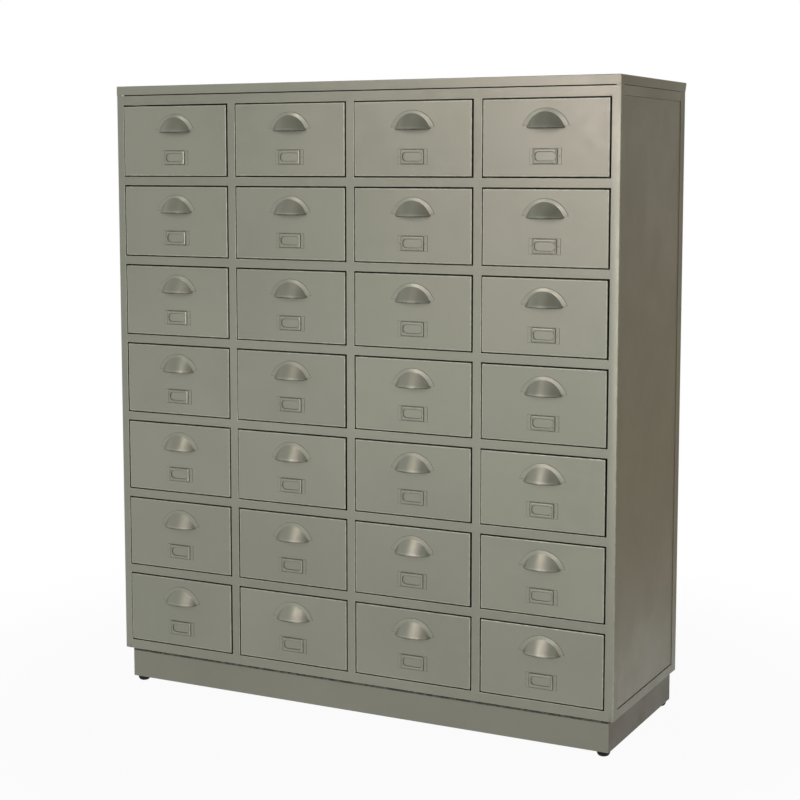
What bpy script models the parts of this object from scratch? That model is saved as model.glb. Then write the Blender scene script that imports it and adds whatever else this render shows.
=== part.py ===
"""Steel drawer cabinet: a welded tube face, folded sheet sides, and 28 sliding drawers.

Metres, +Z up.  The floor is z = 0, the drawers face -Y, and the origin lies below the middle of
the whole cabinet, pulls included.
"""
import math

import bmesh
import bpy
from mathutils import Matrix, Vector

# Drawer grid
COLUMNS = 4
ROWS = 7
OPENING_WIDTH = 0.276
OPENING_HEIGHT = 0.1595

# Carcass
DEPTH = 0.409
TUBE = 0.019
TUBE_WALL = 0.0015
END_RAIL_HEIGHT = 0.021
SHEET = 0.001
REAR_RETURN = 0.030
SEAM = 0.002
CAP_HEIGHT = 0.0195
CAP_SHEET = 0.0012
CAP_REAR_LIP = 0.008
PLINTH_HEIGHT = 0.070
PLINTH_RECESS = 0.013
PLINTH_SHEET = 0.0015
PLINTH_FLANGE = 0.034
PANEL_LAP = 0.010

# Feet
FOOT_HEIGHT = 0.0115
FOOT_RADIUS = 0.014
FOOT_PAD_RADIUS = 0.008
FOOT_INSET = 0.017
STUD_RADIUS = 0.003
STUD_LENGTH = 0.009
FOOT_STEPS = 14
BULGE_STEPS = 3
HOLE_SIDES = 8

# Runners
RUNNER_SHEET = 0.0015
RUNNER_HEIGHT = 0.016
RUNNER_LEDGE = 0.012
RUNNER_NECK = 0.040
UPRIGHT_SHEET = 0.002
UPRIGHT_REACH = 0.0045

# Drawers
DRAWER_GAP = 0.002
DRAWER_SHEET = 0.001
DRAWER_TRAVEL = 0.320
FRONT_RETURN = 0.016
FRONT_HEM = 0.010
FOLD_RADIUS = 0.0015
FOLD_STEPS = 1
ROUND_PROFILE = 0.5
TRAY_INSET = 0.0015
TRAY_DROP = 0.012
STOP_TAB_LENGTH = 0.020
STOP_TAB_LAP = 0.005
STOP_PLAY = 0.001

# Cup pull, measured from its base line, which lies PULL_RISE above the middle of the drawer front
PULL_RISE = 0.0195
PULL_HALF_WIDTH = 0.041
PULL_HEIGHT = 0.0325
PULL_PROJECTION = 0.020
PULL_RIM_DROP = 0.003
PULL_SHEET = 0.0012
FLANGE_WIDTH = 0.0085
FLANGE_SHEET = 0.001
ARCH_STEPS = 8

# Card holder, hung from HOLDER_DROP below the middle of the drawer front
HOLDER_DROP = 0.0215
HOLDER_WIDTH = 0.068
HOLDER_HEIGHT = 0.0315
HOLDER_SHEET = 0.0008
POCKET_WIDTH = 0.051
POCKET_WALL = 0.001
CARD_SLOT = 0.001
WINDOW_WIDTH = 0.043
WINDOW_HEIGHT = 0.0175
WINDOW_RADIUS = 0.0045
WINDOW_STEPS = 1

# Fits
SEAT = 0.0003
STUD_CLEARANCE = 0.0003
SHUT_PLAY = 0.0005
WELD_BITE = 0.0005
CUT_OVERRUN = 0.002
WELD_DISTANCE = 0.00001
FLAT_ANGLE = math.radians(0.2)
CREASE_ANGLE = math.radians(35)

# Colours of the paint, the runners and the feet: linear colour, roughness, metallic
FINISHES = {
    "sage_paint": ((0.262, 0.266, 0.212, 1.0), 0.42, 0.3),
    "drawer_paint": ((0.270, 0.273, 0.220, 1.0), 0.40, 0.3),
    "runner_steel": ((0.230, 0.230, 0.215, 1.0), 0.45, 0.8),
    "black_rubber": ((0.010, 0.010, 0.008, 1.0), 0.60, 0.0),
}

# Levels and places that follow from the sizes above
WIDTH = COLUMNS * OPENING_WIDTH + (COLUMNS + 1) * TUBE
COLUMN_PITCH = OPENING_WIDTH + TUBE
ROW_PITCH = OPENING_HEIGHT + TUBE
HALF_WIDTH = WIDTH / 2
FRONT = -(DEPTH + CAP_REAR_LIP - PULL_PROJECTION) / 2
REAR = FRONT + DEPTH
FRAME_BACK = FRONT + TUBE
BACK_SHEET_FACE = REAR - SHEET
RETURN_EDGE = REAR - REAR_RETURN
CARCASS_BOTTOM = FOOT_HEIGHT + PLINTH_HEIGHT
OPENINGS_BOTTOM = CARCASS_BOTTOM + END_RAIL_HEIGHT
OPENINGS_TOP = OPENINGS_BOTTOM + ROWS * OPENING_HEIGHT + (ROWS - 1) * TUBE
RAILS_TOP = OPENINGS_TOP + END_RAIL_HEIGHT
CAP_BOTTOM = RAILS_TOP + SEAM
TOP = CAP_BOTTOM + CAP_HEIGHT
POST_INNER = HALF_WIDTH - TUBE
FRONT_WIDTH = OPENING_WIDTH - 2 * DRAWER_GAP
FRONT_HEIGHT = OPENING_HEIGHT - 2 * DRAWER_GAP
TRAY_WIDTH = FRONT_WIDTH - 2 * TRAY_INSET
UPRIGHT_FACE = BACK_SHEET_FACE - SEAT - UPRIGHT_SHEET
TRAY_DEPTH = UPRIGHT_FACE - SHUT_PLAY - FRONT


def clear_scene():
    """Remove whatever the scene holds and return the two collections for parts and cutters."""
    for old in list(bpy.data.objects):
        bpy.data.objects.remove(old, do_unlink=True)
    made = []
    for name in ("metal_drawer_cabinet", "cutters"):
        group = bpy.data.collections.new(name)
        bpy.context.scene.collection.children.link(group)
        made.append(group)
    return made


PARTS, CUTTERS = clear_scene()


def make_materials():
    """One Principled material for each finish."""
    made = {}
    for name, (colour, roughness, metallic) in FINISHES.items():
        material = bpy.data.materials.new(name)
        material.use_nodes = True
        shader = material.node_tree.nodes["Principled BSDF"]
        shader.inputs["Base Color"].default_value = colour
        shader.inputs["Roughness"].default_value = roughness
        shader.inputs["Metallic"].default_value = metallic
        material.diffuse_color = colour
        made[name] = material
    return made


MATERIALS = make_materials()


def object_from(name, work):
    """An object in the cutters' collection made from a bmesh."""
    mesh = bpy.data.meshes.new(name)
    work.to_mesh(mesh)
    work.free()
    made = bpy.data.objects.new(name, mesh)
    CUTTERS.objects.link(made)
    made.hide_render = True
    made.display_type = "WIRE"
    return made


def box(name, low, high):
    """A block between two opposite corners."""
    low = Vector(low)
    high = Vector(high)
    work = bmesh.new()
    bmesh.ops.create_cube(work, size=1.0)
    bmesh.ops.scale(work, vec=high - low, verts=work.verts)
    bmesh.ops.translate(work, vec=(low + high) / 2, verts=work.verts)
    return object_from(name, work)


def evaluated_mesh(source):
    """The mesh of an object with its modifiers, its caps and corners welded."""
    bpy.context.view_layer.update()
    graph = bpy.context.evaluated_depsgraph_get()
    mesh = bpy.data.meshes.new_from_object(source.evaluated_get(graph), depsgraph=graph)
    work = bmesh.new()
    work.from_mesh(mesh)
    bmesh.ops.remove_doubles(work, verts=work.verts, dist=WELD_DISTANCE)
    bmesh.ops.dissolve_limit(work, angle_limit=FLAT_ANGLE, verts=work.verts, edges=work.edges)
    work.to_mesh(mesh)
    work.free()
    return mesh


def bake(target):
    """Replace an object's mesh by what its modifiers make of it."""
    mesh = evaluated_mesh(target)
    target.modifiers.clear()
    target.data = mesh
    return target


def combine(target, tools, operation):
    """Cut tools from a target, or join them to it, and remove the tools."""
    for tool in tools:
        modifier = target.modifiers.new(operation.lower(), "BOOLEAN")
        modifier.operation = operation
        modifier.object = tool
        modifier.solver = "EXACT"
    bake(target)
    for tool in tools:
        bpy.data.objects.remove(tool, do_unlink=True)
    return target


def cut(target, *tools):
    """Cut tools from a target."""
    return combine(target, tools, "DIFFERENCE")


def join(target, *tools):
    """Join tools to a target."""
    return combine(target, tools, "UNION")


def bar(name, outline, start, end, axis):
    """A flat outline carried along one axis, from start to end.

    The outline's points are (y, z) along X, (x, z) along Y and (x, y) along Z.
    """
    curve = bpy.data.curves.new(name, "CURVE")
    curve.dimensions = "2D"
    curve.fill_mode = "BOTH"
    curve.extrude = (end - start) / 2
    spline = curve.splines.new("POLY")
    spline.points.add(len(outline) - 1)
    for point, (first, second) in zip(spline.points, outline):
        point.co = (first, second, 0.0, 1.0)
    spline.use_cyclic_u = True
    drawn = bpy.data.objects.new(name, curve)
    CUTTERS.objects.link(drawn)
    mesh = evaluated_mesh(drawn)
    bpy.data.objects.remove(drawn, do_unlink=True)
    middle = (start + end) / 2
    turn = {
        "X": Matrix(((0, 0, 1, middle), (1, 0, 0, 0), (0, 1, 0, 0), (0, 0, 0, 1))),
        "Y": Matrix(((1, 0, 0, 0), (0, 0, -1, middle), (0, 1, 0, 0), (0, 0, 0, 1))),
        "Z": Matrix.Translation((0, 0, middle)),
    }[axis]
    work = bmesh.new()
    work.from_mesh(mesh)
    work.transform(turn)
    work.normal_update()
    bmesh.ops.recalc_face_normals(work, faces=work.faces)
    return object_from(name, work)


def finish(made, name, material, origin=(0.0, 0.0, 0.0)):
    """Turn a working object into a named part with its material and origin."""
    made.name = name
    made.data.name = name
    made.data.materials.clear()
    made.data.materials.append(MATERIALS[material])
    made.data.transform(Matrix.Translation(-Vector(origin)))
    made.location = origin
    made.hide_render = False
    made.display_type = "TEXTURED"
    CUTTERS.objects.unlink(made)
    PARTS.objects.link(made)
    return made


def tube(name, low, high, axis):
    """A rectangular tube, open at both ends, along one axis."""
    inner_low = [value + TUBE_WALL for value in low]
    inner_high = [value - TUBE_WALL for value in high]
    inner_low[axis] = low[axis] - CUT_OVERRUN
    inner_high[axis] = high[axis] + CUT_OVERRUN
    return cut(box(name, low, high), box("bore", inner_low, inner_high))


def stile_centre(index):
    """X of a vertical member of the face, counted from the left corner post."""
    return -HALF_WIDTH + TUBE / 2 + index * COLUMN_PITCH


def rail_bottom(index):
    """Z of the underside of a row rail, counted from the top."""
    return OPENINGS_TOP - index * ROW_PITCH


def row_floor(row):
    """Z of the lower edge of a row's openings, rows counted from the top."""
    return OPENINGS_TOP - row * ROW_PITCH + TUBE


def make_posts():
    """Front corner posts, which rise to the cap and close the seam at the corners."""
    for side, name in ((-1, "left"), (1, "right")):
        inner = side * POST_INNER
        outer = side * HALF_WIDTH
        low = (min(inner, outer), FRONT, CARCASS_BOTTOM)
        high = (max(inner, outer), FRAME_BACK, CAP_BOTTOM - SEAT)
        finish(tube("post", low, high, 2), f"front_post_{name}", "sage_paint")


def make_end_rails():
    """Top and bottom rails of the face, between the corner posts."""
    reach = POST_INNER - SEAT
    for name, low, high in (
        ("front_bottom_rail", CARCASS_BOTTOM, OPENINGS_BOTTOM),
        ("front_top_rail", OPENINGS_TOP, RAILS_TOP),
    ):
        made = tube("rail", (-reach, FRONT, low), (reach, FRAME_BACK, high), 0)
        finish(made, name, "sage_paint")


def make_stiles():
    """Mid stiles, notched behind so that the row rails pass them in a half lap."""
    lap = FRONT + TUBE / 2 - SEAT / 2
    for index in range(1, COLUMNS):
        centre = stile_centre(index)
        low = (centre - TUBE / 2, FRONT, OPENINGS_BOTTOM + SEAT)
        high = (centre + TUBE / 2, FRAME_BACK, OPENINGS_TOP - SEAT)
        notches = []
        for rail in range(1, ROWS):
            bottom = rail_bottom(rail)
            corner = (low[0] - CUT_OVERRUN, lap, bottom - SEAT)
            opposite = (high[0] + CUT_OVERRUN, FRAME_BACK + CUT_OVERRUN, bottom + TUBE + SEAT)
            notches.append(box("notch", corner, opposite))
        made = cut(tube("stile", low, high, 2), *notches)
        finish(made, f"mid_stile_{index}", "sage_paint")


def make_row_rails():
    """Rails between the rows, notched in front so that the stiles run unbroken over them."""
    lap = FRONT + TUBE / 2 + SEAT / 2
    reach = POST_INNER - SEAT
    for rail in range(1, ROWS):
        bottom = rail_bottom(rail)
        notches = []
        for index in range(1, COLUMNS):
            centre = stile_centre(index)
            corner = (centre - TUBE / 2 - SEAT, FRONT - CUT_OVERRUN, bottom - CUT_OVERRUN)
            opposite = (centre + TUBE / 2 + SEAT, lap, bottom + TUBE + CUT_OVERRUN)
            notches.append(box("notch", corner, opposite))
        made = tube("rail", (-reach, FRONT, bottom), (reach, FRAME_BACK, bottom + TUBE), 0)
        finish(cut(made, *notches), f"row_rail_{rail}", "sage_paint")


def make_sides():
    """Side rails and the sheet panel set back between them."""
    start = FRAME_BACK + SEAT
    panel_face = HALF_WIDTH - SHEET - SEAT
    for side, name in ((-1, "left"), (1, "right")):
        near, far = sorted((side * POST_INNER, side * HALF_WIDTH))
        for level, bottom in (("bottom", CARCASS_BOTTOM), ("top", RAILS_TOP - TUBE)):
            low = (near, start, bottom)
            high = (far, RETURN_EDGE - SEAT, bottom + TUBE)
            finish(tube("rail", low, high, 1), f"side_{level}_rail_{name}", "sage_paint")
        near, far = sorted((side * (panel_face - SHEET), side * panel_face))
        low = (near, start, CARCASS_BOTTOM + TUBE + SEAT)
        high = (far, RETURN_EDGE + PANEL_LAP, RAILS_TOP - TUBE - SEAT)
        finish(box("panel", low, high), f"side_panel_{name}", "sage_paint")


def make_back():
    """Back sheet folded round both rear corners."""
    edge = HALF_WIDTH
    inner = HALF_WIDTH - SHEET
    outline = [
        (-edge, RETURN_EDGE), (-inner, RETURN_EDGE), (-inner, BACK_SHEET_FACE),
        (inner, BACK_SHEET_FACE), (inner, RETURN_EDGE), (edge, RETURN_EDGE), (edge, REAR), (-edge, REAR),
    ]
    made = bar("back", outline, CARCASS_BOTTOM, CAP_BOTTOM - SEAT, "Z")
    finish(made, "back_panel", "sage_paint")


def make_bottom():
    """Sheet that closes the carcass below the drawers."""
    reach = POST_INNER - SEAT
    low = (-reach, FRAME_BACK + SEAT, CARCASS_BOTTOM)
    high = (reach, BACK_SHEET_FACE - SEAT, CARCASS_BOTTOM + SHEET)
    finish(box("bottom", low, high), "bottom_panel", "sage_paint")


def make_cap():
    """Folded cap, open below, whose rear skirt leans out to the top."""
    work = bmesh.new()
    bmesh.ops.create_cube(work, size=1.0)
    bmesh.ops.scale(work, vec=(WIDTH, DEPTH, CAP_HEIGHT), verts=work.verts)
    bmesh.ops.translate(work, vec=(0, (FRONT + REAR) / 2, (CAP_BOTTOM + TOP) / 2), verts=work.verts)
    middle = (CAP_BOTTOM + TOP) / 2
    below = [face for face in work.faces if all(corner.co.z < middle for corner in face.verts)]
    bmesh.ops.delete(work, geom=below, context="FACES_ONLY")
    for corner in work.verts:
        if corner.co.y > 0 and corner.co.z > middle:
            corner.co.y += CAP_REAR_LIP
    made = object_from("cap", work)
    shell = made.modifiers.new("sheet", "SOLIDIFY")
    shell.thickness = CAP_SHEET
    shell.offset = -1.0
    shell.use_even_offset = True
    finish(bake(made), "top_cap", "sage_paint")


def foot_places():
    """Where the four feet stand, by name."""
    across = HALF_WIDTH - PLINTH_RECESS - FOOT_INSET
    front = FRONT + PLINTH_RECESS + FOOT_INSET
    rear = REAR - FOOT_INSET
    return {
        "front_left": (-across, front),
        "front_right": (across, front),
        "rear_left": (-across, rear),
        "rear_right": (across, rear),
    }


def round_bar(name, radius, low, high, place, sides):
    """An upright round bar."""
    work = bmesh.new()
    bmesh.ops.create_cone(
        work, cap_ends=True, segments=sides, radius1=radius, radius2=radius, depth=high - low
    )
    bmesh.ops.translate(work, vec=(place[0], place[1], (low + high) / 2), verts=work.verts)
    return object_from(name, work)


def make_plinth():
    """Channel-section ring set back under the carcass, with a hole for each foot's stud."""
    across = HALF_WIDTH - PLINTH_RECESS
    front = FRONT + PLINTH_RECESS
    low = FOOT_HEIGHT
    high = CARCASS_BOTTOM - SEAT
    wall = PLINTH_SHEET
    hollow = box(
        "hollow",
        (-across + wall, front + wall, low + wall),
        (across - wall, REAR - wall, high - wall),
    )
    mouth = box(
        "mouth",
        (-across + PLINTH_FLANGE, front + PLINTH_FLANGE, low - CUT_OVERRUN),
        (across - PLINTH_FLANGE, REAR - PLINTH_FLANGE, high + CUT_OVERRUN),
    )
    made = cut(box("ring", (-across, front, low), (across, REAR, high)), join(hollow, mouth))
    holes = []
    radius = STUD_RADIUS + STUD_CLEARANCE
    hole_low = low - CUT_OVERRUN
    hole_high = low + wall + CUT_OVERRUN
    for place in foot_places().values():
        holes.append(round_bar("hole", radius, hole_low, hole_high, place, HOLE_SIDES))
    finish(cut(made, *holes), "plinth", "sage_paint")


def make_feet():
    """Turned rubber feet with a stud that stands up through the plinth's flange."""
    shoulder = FOOT_HEIGHT - SEAT
    flare = FOOT_RADIUS - FOOT_PAD_RADIUS
    bulge = []
    for step in range(BULGE_STEPS, -1, -1):
        angle = math.pi / 2 * step / BULGE_STEPS
        bulge.append((FOOT_PAD_RADIUS + flare * math.sin(angle), shoulder * (1 - math.cos(angle))))
    profile = [
        (0.0, FOOT_HEIGHT + STUD_LENGTH),
        (STUD_RADIUS, FOOT_HEIGHT + STUD_LENGTH),
        (STUD_RADIUS, shoulder),
        *bulge,
        (0.0, 0.0),
    ]
    for name, place in foot_places().items():
        work = bmesh.new()
        points = [work.verts.new((radius, 0.0, height)) for radius, height in profile]
        for first, second in zip(points, points[1:]):
            work.edges.new((first, second))
        made = object_from("foot", work)
        turn = made.modifiers.new("turn", "SCREW")
        turn.steps = FOOT_STEPS
        turn.render_steps = FOOT_STEPS
        turn.use_merge_vertices = True
        turn.merge_threshold = WELD_DISTANCE
        turn.use_smooth_shade = True
        bake(made)
        made.data.transform(Matrix.Translation((place[0], place[1], 0.0)))
        finish(made, f"foot_{name}", "black_rubber", (place[0], place[1], 0.0))


def runner(left, right, web, level):
    """A flat ledge on an upright web; behind the ledge, the web alone runs on to the upright."""
    wall = RUNNER_SHEET
    start = FRAME_BACK + SEAT
    end = UPRIGHT_FACE + WELD_BITE
    ledge = box("ledge", (left, start, level - wall), (right, end - RUNNER_NECK, level))
    low = (web - wall / 2, start, level - RUNNER_HEIGHT)
    stem = box("web", low, (web + wall / 2, end, level - wall / 2))
    return [ledge, stem]


def make_runner_racks():
    """Seven runners on a slim upright at the back, one rack behind each vertical of the face."""
    foot = CARCASS_BOTTOM + SHEET + SEAT
    ledge = TUBE / 2 + DRAWER_GAP + TRAY_INSET + RUNNER_LEDGE
    slim = TUBE / 2 + UPRIGHT_REACH
    web_shift = TUBE / 2 + SEAT + RUNNER_SHEET / 2
    for index in range(COLUMNS + 1):
        centre = stile_centre(index)
        to_left = 0 if index == 0 else 1
        to_right = 0 if index == COLUMNS else 1
        web = centre + (to_right - to_left) * web_shift
        pieces = []
        for row in range(1, ROWS + 1):
            level = row_floor(row) + DRAWER_GAP - SEAT
            pieces.extend(runner(centre - to_left * ledge, centre + to_right * ledge, web, level))
        low = (centre - to_left * slim, UPRIGHT_FACE, foot)
        high = (centre + to_right * slim, UPRIGHT_FACE + UPRIGHT_SHEET, RAILS_TOP)
        made = join(box("upright", low, high), *pieces)
        finish(made, f"runner_rack_{index + 1}", "runner_steel")


def arch_points(half_width, height, steps):
    """A circular arch over a base line, from its right end to its left end."""
    radius = (half_width ** 2 + height ** 2) / (2 * height)
    centre = height - radius
    start = math.atan2(-centre, half_width)
    points = []
    for step in range(steps + 1):
        angle = start + (math.pi - 2 * start) * step / steps
        points.append((radius * math.cos(angle), centre + radius * math.sin(angle)))
    return points


def cup_body(name, half_width, height, projection, rim, wall):
    """Leaning half cup between the plane of the drawer front and the plane of its rim."""
    work = bmesh.new()
    for x, z in arch_points(half_width, height, ARCH_STEPS):
        share = max(z, 0.0) / height
        work.verts.new((x, wall, PULL_RISE + z))
        work.verts.new((x, wall - (wall + projection) * share, PULL_RISE - rim))
    bmesh.ops.convex_hull(work, input=work.verts)
    bmesh.ops.dissolve_limit(work, angle_limit=FLAT_ANGLE, verts=work.verts, edges=work.edges)
    return object_from(name, work)


def make_pull():
    """Stamped cup pull: a leaning half shell, open below, with a flat flange round its arch."""
    sheet = PULL_SHEET
    outside = cup_body("cup", PULL_HALF_WIDTH, PULL_HEIGHT, PULL_PROJECTION, PULL_RIM_DROP, WELD_BITE)
    inside = cup_body(
        "inside", PULL_HALF_WIDTH - sheet, PULL_HEIGHT - sheet, PULL_PROJECTION - sheet,
        PULL_RIM_DROP + CUT_OVERRUN, WELD_BITE,
    )
    outer = arch_points(PULL_HALF_WIDTH + FLANGE_WIDTH, PULL_HEIGHT + FLANGE_WIDTH, ARCH_STEPS)
    inner = arch_points(PULL_HALF_WIDTH - sheet / 2, PULL_HEIGHT - sheet / 2, ARCH_STEPS)
    outline = [(x, PULL_RISE + z) for x, z in outer + inner[::-1]]
    flange = bar("flange", outline, -FLANGE_SHEET, WELD_BITE, "Y")
    return cut(outside, inside), flange


def rounded_rectangle(width, height, radius, middle_z):
    """Outline of a window with round corners."""
    points = []
    for quarter, (right, up) in enumerate(((1, 1), (-1, 1), (-1, -1), (1, -1))):
        for step in range(WINDOW_STEPS + 1):
            angle = math.pi / 2 * (quarter + step / WINDOW_STEPS)
            x = right * (width / 2 - radius) + radius * math.cos(angle)
            z = up * (height / 2 - radius) + radius * math.sin(angle)
            points.append((x, middle_z + z))
    return points


def make_card_holder():
    """Card holder: eared base plate, and a raised pocket with a window, open at the top."""
    top = -HOLDER_DROP
    bottom = top - HOLDER_HEIGHT
    half = POCKET_WIDTH / 2
    lip_back = -HOLDER_SHEET - CARD_SLOT
    face = lip_back - HOLDER_SHEET
    root = -HOLDER_SHEET / 2
    plate = box("plate", (-HOLDER_WIDTH / 2, -HOLDER_SHEET, bottom), (HOLDER_WIDTH / 2, WELD_BITE, top))
    pocket = box("pocket", (-half, face, bottom + POCKET_WALL), (half, root, top - POCKET_WALL))
    slot = box(
        "slot",
        (-half + POCKET_WALL, lip_back, bottom + 2 * POCKET_WALL),
        (half - POCKET_WALL, root + CUT_OVERRUN, top + CUT_OVERRUN),
    )
    outline = rounded_rectangle(WINDOW_WIDTH, WINDOW_HEIGHT, WINDOW_RADIUS, (top + bottom) / 2)
    window = bar("window", outline, face - CUT_OVERRUN, lip_back + CARD_SLOT / 2, "Y")
    return join(plate, cut(pocket, slot, window))


def make_drawer_mesh():
    """One drawer about the middle of its front: folded front and tray, pull and card holder."""
    bottom = -FRONT_HEIGHT / 2
    top = FRONT_HEIGHT / 2
    rim = top - TRAY_DROP
    tab_top = top + DRAWER_GAP + STOP_TAB_LAP
    tab_start = TUBE + DRAWER_TRAVEL + STOP_PLAY
    tab_end = tab_start + STOP_TAB_LENGTH
    wall = DRAWER_SHEET
    tray_outline = [
        (FOLD_RADIUS, bottom), (TRAY_DEPTH, bottom), (TRAY_DEPTH, rim), (tab_end, rim),
        (tab_end, tab_top), (tab_start, tab_top), (tab_start, rim), (FOLD_RADIUS, rim),
    ]
    tray_back = TRAY_DEPTH - wall
    above = tab_top + CUT_OVERRUN
    hem_face = FRONT_RETURN - wall
    hem_end = top - FRONT_HEM
    hollow_outline = [
        (wall, bottom + wall), (tray_back, bottom + wall), (tray_back, above), (FRONT_RETURN, above),
        (FRONT_RETURN, hem_end), (hem_face, hem_end), (hem_face, top - wall), (wall, top - wall),
    ]
    front = box("front", (-FRONT_WIDTH / 2, 0.0, bottom), (FRONT_WIDTH / 2, FRONT_RETURN, top))
    round_front_edges(front)
    tray = bar("tray", tray_outline, -TRAY_WIDTH / 2, TRAY_WIDTH / 2, "X")
    hollow = bar("hollow", hollow_outline, wall - TRAY_WIDTH / 2, TRAY_WIDTH / 2 - wall, "X")
    made = cut(join(front, tray), hollow)
    cup, flange = make_pull()
    join(made, flange, cup, make_card_holder())
    made.data.set_sharp_from_angle(angle=CREASE_ANGLE)
    return made


def round_front_edges(front):
    """Round the four edges where the sheet folds back from the face."""
    work = bmesh.new()
    work.from_mesh(front.data)
    edges = [edge for edge in work.edges if all(corner.co.y < WELD_DISTANCE for corner in edge.verts)]
    bmesh.ops.bevel(
        work, geom=edges, offset=FOLD_RADIUS, segments=FOLD_STEPS, profile=ROUND_PROFILE, affect="EDGES"
    )
    work.to_mesh(front.data)
    work.free()


def make_drawers():
    """A drawer for each opening, all of one mesh, each with its origin at its front."""
    pattern = make_drawer_mesh()
    mesh = pattern.data
    mesh.name = "drawer"
    mesh.materials.append(MATERIALS["drawer_paint"])
    bpy.data.objects.remove(pattern, do_unlink=True)
    for row in range(1, ROWS + 1):
        for column in range(1, COLUMNS + 1):
            drawer = bpy.data.objects.new(f"drawer_r{row}c{column}", mesh)
            x = stile_centre(column - 1) + COLUMN_PITCH / 2
            drawer.location = (x, FRONT, row_floor(row) + OPENING_HEIGHT / 2)
            PARTS.objects.link(drawer)


make_posts()
make_end_rails()
make_stiles()
make_row_rails()
make_sides()
make_back()
make_bottom()
make_cap()
make_plinth()
make_feet()
make_runner_racks()
make_drawers()
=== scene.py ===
"""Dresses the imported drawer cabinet: detailed drawers, a ground face, paint, light and a camera."""
import math

import bmesh
import bpy
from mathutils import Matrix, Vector


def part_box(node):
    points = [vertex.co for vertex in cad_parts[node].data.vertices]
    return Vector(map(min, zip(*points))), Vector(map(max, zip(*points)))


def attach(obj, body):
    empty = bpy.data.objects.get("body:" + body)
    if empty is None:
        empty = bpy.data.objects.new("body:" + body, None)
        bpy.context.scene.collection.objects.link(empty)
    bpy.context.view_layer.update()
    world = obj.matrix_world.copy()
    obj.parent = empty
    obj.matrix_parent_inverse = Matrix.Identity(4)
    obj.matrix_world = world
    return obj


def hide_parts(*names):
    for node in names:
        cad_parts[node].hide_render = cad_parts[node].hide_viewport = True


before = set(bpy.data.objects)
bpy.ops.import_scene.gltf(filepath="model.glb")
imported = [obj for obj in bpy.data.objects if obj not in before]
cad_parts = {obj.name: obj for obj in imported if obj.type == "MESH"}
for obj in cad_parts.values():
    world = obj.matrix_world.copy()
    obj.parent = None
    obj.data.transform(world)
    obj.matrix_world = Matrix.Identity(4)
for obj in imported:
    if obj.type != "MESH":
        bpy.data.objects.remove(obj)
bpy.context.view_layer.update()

# Sizes shared with the solids
COLUMNS = 4
ROWS = 7
OPENING_WIDTH = 0.276
OPENING_HEIGHT = 0.1595
TUBE = 0.019
SEAT = 0.0003
CAP_SHEET = 0.0012
CAP_REAR_LIP = 0.008
REAR_RETURN = 0.030
SHEET = 0.001
DRAWER_GAP = 0.002
DRAWER_TRAVEL = 0.320
FRONT_RETURN = 0.016
FRONT_HEM = 0.010
TRAY_INSET = 0.0015
TRAY_DROP = 0.012
TRAY_DEPTH = 0.4052
STOP_TAB_LENGTH = 0.020
STOP_TAB_LAP = 0.005
STOP_PLAY = 0.001
PULL_RISE = 0.0195
PULL_HALF_WIDTH = 0.041
PULL_HEIGHT = 0.0325
PULL_PROJECTION = 0.020
PULL_SHEET = 0.0012
FLANGE_SHEET = 0.001
HOLDER_DROP = 0.0215
HOLDER_WIDTH = 0.068
HOLDER_HEIGHT = 0.0315
HOLDER_SHEET = 0.0008
POCKET_WIDTH = 0.051
WINDOW_WIDTH = 0.043
WINDOW_HEIGHT = 0.0175
FOOT_HEIGHT = 0.0115
FOOT_RADIUS = 0.014
FOOT_PAD_RADIUS = 0.008
STUD_RADIUS = 0.003

# Finer shapes of the carcass, which only the dressed pieces have
FACE_EDGE_RADIUS = 0.0011
FACE_EDGE_STEPS = 3
POST_EDGE_RADIUS = 0.0016
POST_EDGE_STEPS = 5
POST_CROWN = 0.0014
POST_RETURN = 0.027
RETURN_SHEET = 0.003
GROOVE = 0.0013
FRONT_GROOVE = 0.0035
GROOVE_LAP = 0.006
CAP_EDGE_RADIUS = 0.0018
CAP_EDGE_STEPS = 4
BACK_FOLD_RADIUS = 0.0035
RAIL_EDGE_RADIUS = 0.0007
PLINTH_EDGE_STEPS = 3
RACK_EDGE_RADIUS = 0.0004
SHEET_EDGE_RADIUS = 0.0003
EDGE_STEPS = 2
CLOSURE_LEFT = 0.0215
CLOSURE_RIGHT = 0.0095
WELD_SIZE = (0.0042, 0.0011, 0.0022)
WELD_FROM_LEFT_END = 0.004
WELD_FROM_RIGHT_END = 0.003
WELD_BACK = 0.0004
WELD_DROP = 0.0008
WELD_SUBDIVISIONS = 3

# Rows of a foot's tread: share of the pad's radius, and height
FOOT_TREAD = ((0.72, 0.0012), (0.80, 0.0002), (1.0, 0.0))
FOOT_BULGE_SHARE = 0.86
FOOT_BAND_SHARE = 0.93
FOOT_CHAMFER = 0.0008
FOOT_STEPS = 8
STUD_NECK = 0.0005
STUD_NECK_RADIUS = 0.0031

# Finer shapes of a drawer's front and tray
FRONT_LEFTWARD = 0.0009
FRONT_DOWNWARD = 0.0004
FRONT_TRIM = 0.0004
FOLD_RADIUS = 0.0017
FOLD_STEPS = 4
WEAR_HIGHLIGHT_BORDER = 0.0014
HEM_BEAD = 0.0022
HEM_ROUND_SHARE = 0.45
HEM_STEPS = 4

# Drawers, by row and column, that sit off the middle of their opening
SEAT_SHIFT = 0.0006
SITS_LEFT = {(1, 1), (7, 1), (4, 2), (5, 2), (1, 3), (6, 3), (3, 4), (5, 4)}
SITS_RIGHT = {(4, 1), (5, 1), (6, 2), (7, 2), (4, 3), (7, 3), (7, 4)}
SITS_HIGH = {(1, 2), (1, 3), (1, 4)}

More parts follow.
